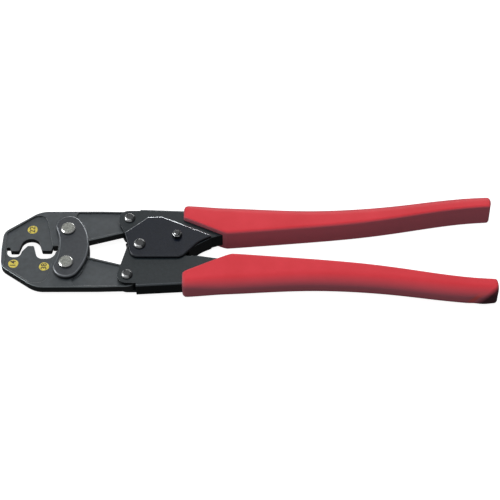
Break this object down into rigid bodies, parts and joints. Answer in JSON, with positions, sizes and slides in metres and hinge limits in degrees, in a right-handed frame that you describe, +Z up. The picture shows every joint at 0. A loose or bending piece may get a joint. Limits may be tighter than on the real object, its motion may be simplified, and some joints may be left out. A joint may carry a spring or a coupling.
{
  "type": "crimping tool",
  "caption": "Two-hand toggle crimping tool with black steel jaws, painted size marks and red grips.",
  "frame": {"origin": "centre of the tool's footprint, on the surface it lies on", "axes": "+X from the jaws to the grip ends, +Y to the handle that carries the cover plates, +Z up through the tool's flat side"},
  "size_m": [0.3464, 0.0874, 0.0221],
  "materials": {
    "black_jaw_steel": "satin",
    "black_sheet_steel": "satin",
    "black_pin_steel": "satin",
    "bright_pin_steel": "satin",
    "ratchet_steel": "satin",
    "spring_steel": "satin",
    "red_grip_vinyl": "satin",
    "size_paint": "matte"
  },
  "bodies": {
    "link": {"front_link_plate": "black_sheet_steel", "rear_link_plate": "black_sheet_steel", "upper_jaw_pin": "bright_pin_steel", "lower_jaw_pin": "bright_pin_steel"},
    "upper_jaw": {"upper_jaw": "black_jaw_steel"},
    "lower_jaw": {"lower_jaw": "black_jaw_steel"},
    "upper_handle": {"upper_handle_frame": "black_sheet_steel", "front_cover_plate": "black_sheet_steel", "rear_cover_plate": "black_sheet_steel", "handle_pivot_pin": "black_pin_steel", "upper_toggle_pin": "black_pin_steel", "upper_toggle_shims": "black_pin_steel", "ratchet_bolt": "black_pin_steel", "ratchet_nut": "black_pin_steel", "bolt_washer": "bright_pin_steel", "pawl_bush": "bright_pin_steel", "spring_post": "bright_pin_steel", "pawl_spring": "spring_steel", "upper_grip": "red_grip_vinyl"},
    "lower_handle": {"lower_handle_frame": "black_sheet_steel", "ratchet_sector": "ratchet_steel", "sector_rivets": "bright_pin_steel", "lower_toggle_pin": "black_pin_steel", "lower_toggle_shims": "black_pin_steel", "lower_grip": "red_grip_vinyl"},
    "pawl": {"ratchet_pawl": "ratchet_steel"}
  },
  "joints": [
    {"name": "upper_jaw_turn", "type": "hinge", "parent": "link", "child": "upper_jaw", "pos_m": [-0.1267, 0.0147, 0.01], "axis": [0, 0, 1], "range_deg": [-13.3, 0]},
    {"name": "lower_jaw_turn", "type": "hinge", "parent": "link", "child": "lower_jaw", "pos_m": [-0.1267, -0.0147, 0.01], "axis": [0, 0, 1], "range_deg": [0, 13.3]},
    {"name": "upper_handle_turn", "type": "hinge", "parent": "upper_jaw", "child": "upper_handle", "pos_m": [-0.0837, 0.0248, 0.01], "axis": [0, 0, 1], "range_deg": [0, 53.2]},
    {"name": "lower_handle_turn", "type": "hinge", "parent": "lower_jaw", "child": "lower_handle", "pos_m": [-0.0837, -0.0248, 0.01], "axis": [0, 0, 1], "range_deg": [-53.3, 0]},
    {"name": "pawl_turn", "type": "hinge", "parent": "upper_handle", "child": "pawl", "pos_m": [-0.0495, 0.0074, 0.01], "axis": [0, 0, 1], "range_deg": [-15, 15], "stiffness_Nm_per_rad": 0.02, "deforming": ["pawl_spring"]}
  ],
  "couplings": [
    {"joint": "upper_jaw_turn", "follows": "upper_handle_turn", "ratio": -0.2481},
    {"joint": "lower_jaw_turn", "follows": "upper_handle_turn", "ratio": 0.2481},
    {"joint": "lower_handle_turn", "follows": "upper_handle_turn", "ratio": -1}
  ]
}
